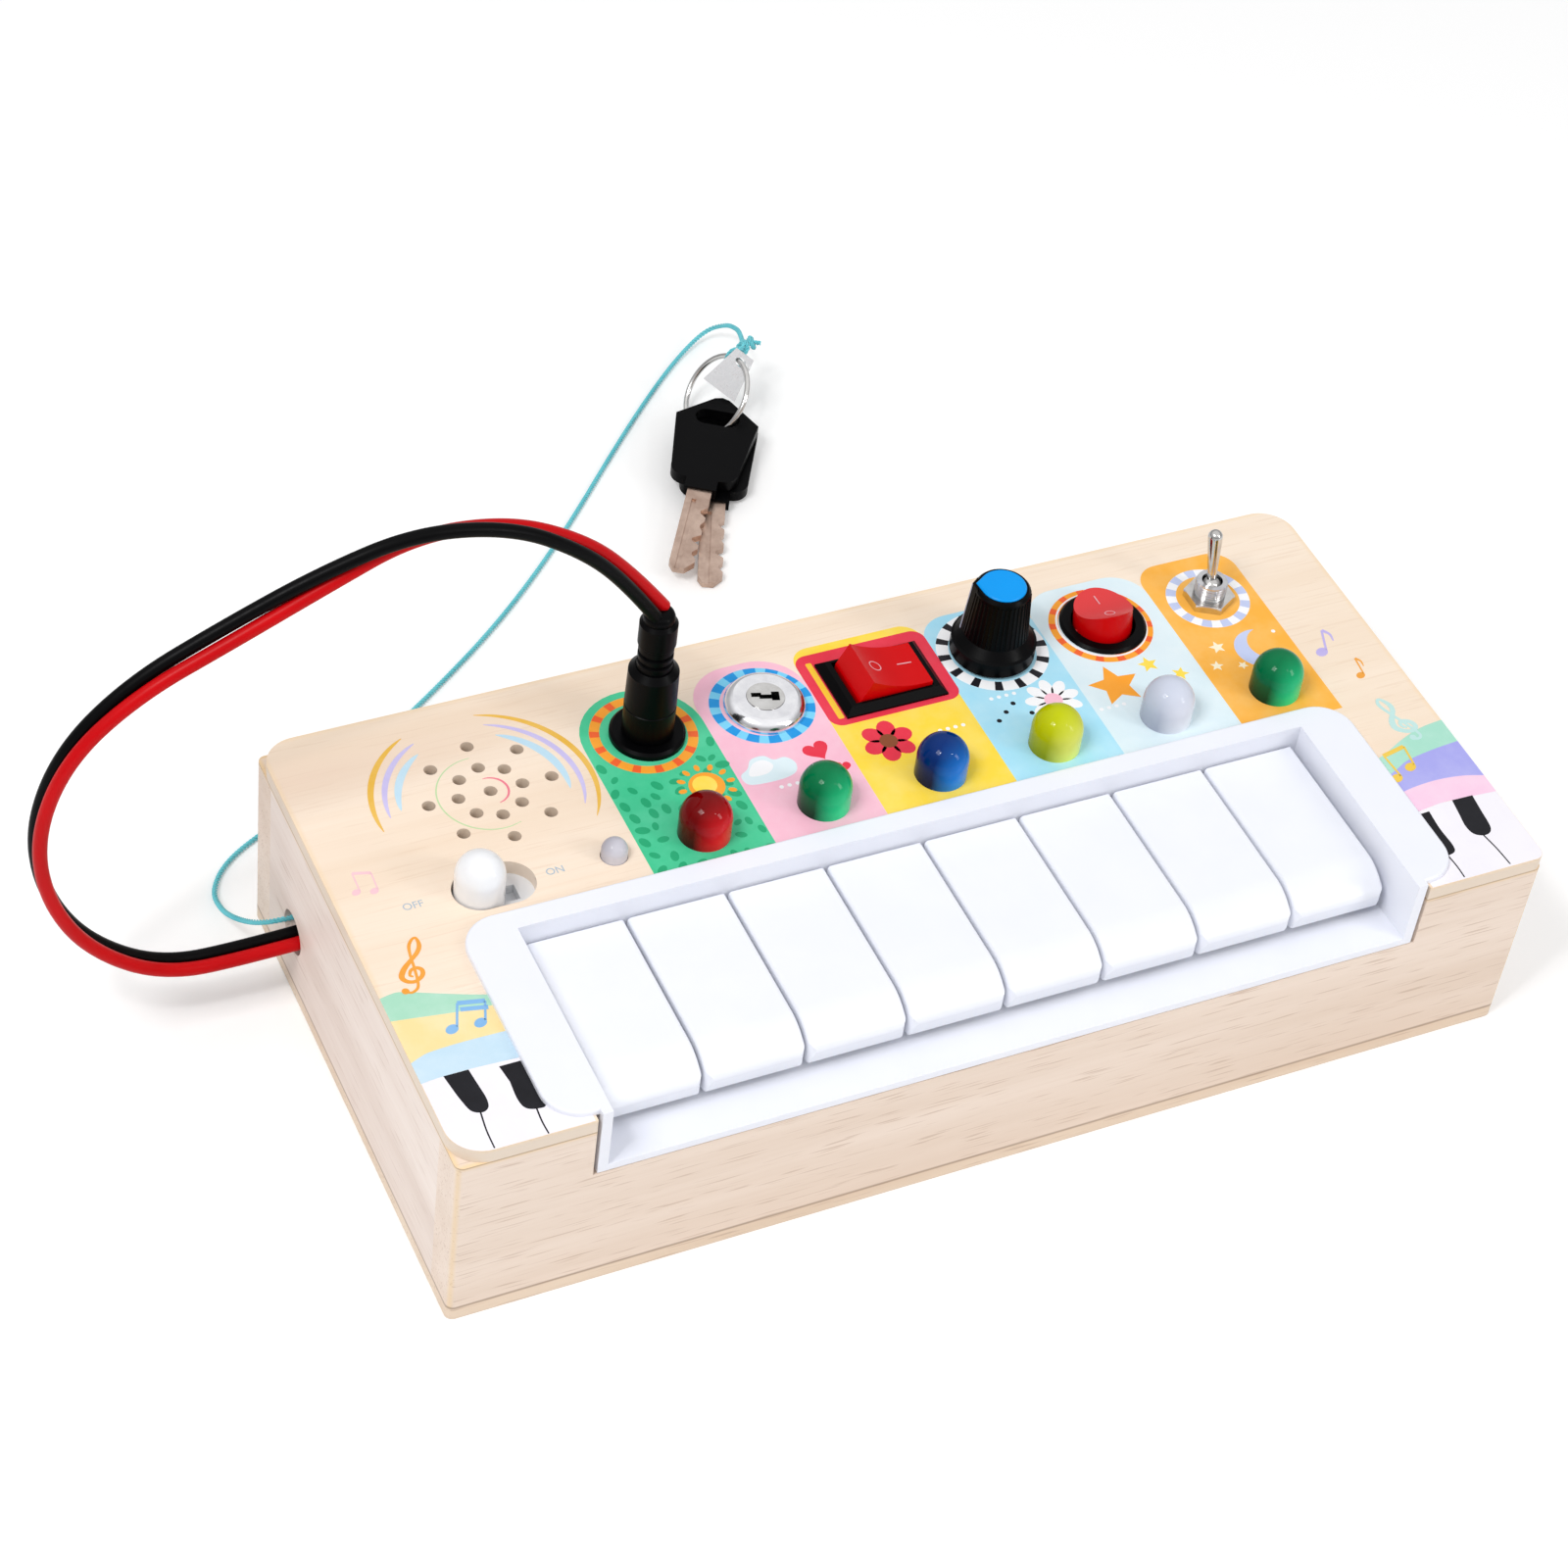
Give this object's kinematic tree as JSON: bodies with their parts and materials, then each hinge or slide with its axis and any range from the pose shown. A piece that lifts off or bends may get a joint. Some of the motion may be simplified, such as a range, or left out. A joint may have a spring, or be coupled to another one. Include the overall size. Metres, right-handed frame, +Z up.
{
  "type": "wooden busy board",
  "caption": "Wooden toy box with press piano keys, lamps, slide, rocker and toggle switches, rotary knob, key lock with corded keys, and a power plug on a wire loop.",
  "frame": {"origin": "middle of the underside of the wooden box, on the surface it stands on", "axes": "+X to the right along the keyboard, +Y to the back, +Z up"},
  "size_m": [0.2618, 0.2334, 0.1081],
  "materials": {
    "lid_wood": "satin lacquer",
    "pine": "sanded",
    "base_wood": "sanded plywood",
    "black_plastic": "satin",
    "white_plastic": "satin",
    "key_plastic": "smooth",
    "steel": "drawn",
    "nickel": "bright",
    "chrome": "polished",
    "blade_metal": "nickel-brass",
    "tag_metal": "bare",
    "board_green": "solder mask",
    "rubber_grey": "silicone",
    "cone_paper": "pressed film",
    "cell_wrap": "wrapped cell",
    "red_lens": "tinted resin",
    "green_lens": "tinted resin",
    "blue_lens": "tinted resin",
    "yellow_lens": "tinted resin",
    "white_lens": "milky resin",
    "switch_grey": "moulded",
    "slide_white": "smooth",
    "red_paddle": "smooth",
    "pot_metal": "plated",
    "cap_blue": "moulded",
    "wire_red": "vinyl insulation",
    "wire_black": "vinyl insulation",
    "cord_cyan": "twisted cord"
  },
  "bodies": {
    "case": {"top_panel": "lid_wood", "front_wall": "pine", "back_wall": "pine", "left_wall": "pine", "right_wall": "pine", "bottom_panel": "base_wood", "battery_box": "black_plastic", "battery_door": "black_plastic", "dc_jack": "black_plastic", "rocker_bezel": "black_plastic", "round_rocker_bezel": "black_plastic", "speaker_frame": "black_plastic", "key_bows": "black_plastic", "keyboard_frame": "white_plastic", "key_rod": "steel", "case_screws": "steel", "panel_nuts": "nickel", "toggle_nut": "nickel", "split_ring": "nickel", "lock_housing": "chrome", "key_blades": "blade_metal", "key_tag": "tag_metal", "key_board": "board_green", "main_board": "board_green", "key_pads": "rubber_grey", "speaker_cone": "cone_paper", "batteries": "cell_wrap", "led_red": "red_lens", "led_green_left": "green_lens", "led_green_right": "green_lens", "led_blue": "blue_lens", "led_yellow": "yellow_lens", "led_white": "white_lens", "power_led": "white_lens", "power_switch": "switch_grey", "pot_body": "pot_metal", "toggle_body": "pot_metal", "red_wire": "wire_red", "black_wire": "wire_black", "key_cord": "cord_cyan", "cord_knot": "cord_cyan"},
    "key_1": {"key_1": "key_plastic"},
    "key_2": {"key_2": "key_plastic"},
    "key_3": {"key_3": "key_plastic"},
    "key_4": {"key_4": "key_plastic"},
    "key_5": {"key_5": "key_plastic"},
    "key_6": {"key_6": "key_plastic"},
    "key_7": {"key_7": "key_plastic"},
    "key_8": {"key_8": "key_plastic"},
    "slide": {"power_knob": "slide_white"},
    "plug": {"dc_plug": "black_plastic", "dc_plug_tip": "nickel"},
    "lock": {"lock_core": "nickel"},
    "rocker": {"rocker_paddle": "red_paddle"},
    "round_rocker": {"round_rocker_paddle": "red_paddle"},
    "knob": {"pot_shaft": "steel", "volume_knob": "black_plastic", "knob_cap": "cap_blue"},
    "toggle": {"toggle_lever": "nickel"}
  },
  "joints": [
    {"name": "key_1_press", "type": "hinge", "parent": "case", "child": "key_1", "pos_m": [-0.06842, -0.01145, 0.0363], "axis": [1, 0, 0], "range_deg": [0, 2.6], "stiffness_Nm_per_rad": 0.08, "springref_deg": -9.74},
    {"name": "key_2_press", "type": "hinge", "parent": "case", "child": "key_2", "pos_m": [-0.04888, -0.01145, 0.0363], "axis": [1, 0, 0], "range_deg": [0, 2.6], "stiffness_Nm_per_rad": 0.08, "springref_deg": -9.74},
    {"name": "key_3_press", "type": "hinge", "parent": "case", "child": "key_3", "pos_m": [-0.02933, -0.01145, 0.0363], "axis": [1, 0, 0], "range_deg": [0, 2.6], "stiffness_Nm_per_rad": 0.08, "springref_deg": -9.74},
    {"name": "key_4_press", "type": "hinge", "parent": "case", "child": "key_4", "pos_m": [-0.00978, -0.01145, 0.0363], "axis": [1, 0, 0], "range_deg": [0, 2.6], "stiffness_Nm_per_rad": 0.08, "springref_deg": -9.74},
    {"name": "key_5_press", "type": "hinge", "parent": "case", "child": "key_5", "pos_m": [0.00978, -0.01145, 0.0363], "axis": [1, 0, 0], "range_deg": [0, 2.6], "stiffness_Nm_per_rad": 0.08, "springref_deg": -9.74},
    {"name": "key_6_press", "type": "hinge", "parent": "case", "child": "key_6", "pos_m": [0.02933, -0.01145, 0.0363], "axis": [1, 0, 0], "range_deg": [0, 2.6], "stiffness_Nm_per_rad": 0.08, "springref_deg": -9.74},
    {"name": "key_7_press", "type": "hinge", "parent": "case", "child": "key_7", "pos_m": [0.04888, -0.01145, 0.0363], "axis": [1, 0, 0], "range_deg": [0, 2.6], "stiffness_Nm_per_rad": 0.08, "springref_deg": -9.74},
    {"name": "key_8_press", "type": "hinge", "parent": "case", "child": "key_8", "pos_m": [0.06842, -0.01145, 0.0363], "axis": [1, 0, 0], "range_deg": [0, 2.6], "stiffness_Nm_per_rad": 0.08, "springref_deg": -9.74},
    {"name": "slide_switch", "type": "slide", "parent": "case", "child": "slide", "axis": [1, 0, 0], "range_m": [0, 0.0055]},
    {"name": "plug_pull", "type": "slide", "parent": "case", "child": "plug", "axis": [0, 0, 1], "range_m": [0, 0.012], "deforming": ["red_wire", "black_wire"]},
    {"name": "lock_turn", "type": "hinge", "parent": "case", "child": "lock", "pos_m": [-0.01485, 0.0312, 0.046], "axis": [0, 0, 1], "range_deg": [0, 90]},
    {"name": "rocker_tip", "type": "hinge", "parent": "case", "child": "rocker", "pos_m": [0.009, 0.0305, 0.0425], "axis": [0, -1, 0], "range_deg": [0, 30]},
    {"name": "round_rocker_tip", "type": "hinge", "parent": "case", "child": "round_rocker", "pos_m": [0.0568, 0.0312, 0.0435], "axis": [1, 0, 0], "range_deg": [0, 26]},
    {"name": "knob_turn", "type": "hinge", "parent": "case", "child": "knob", "pos_m": [0.03265, 0.0312, 0.05], "axis": [0, 0, 1], "range_deg": [-235, 65]},
    {"name": "toggle_flip", "type": "hinge", "parent": "case", "child": "toggle", "pos_m": [0.08015, 0.0312, 0.0474], "axis": [1, 0, 0], "range_deg": [0, 24]}
  ]
}
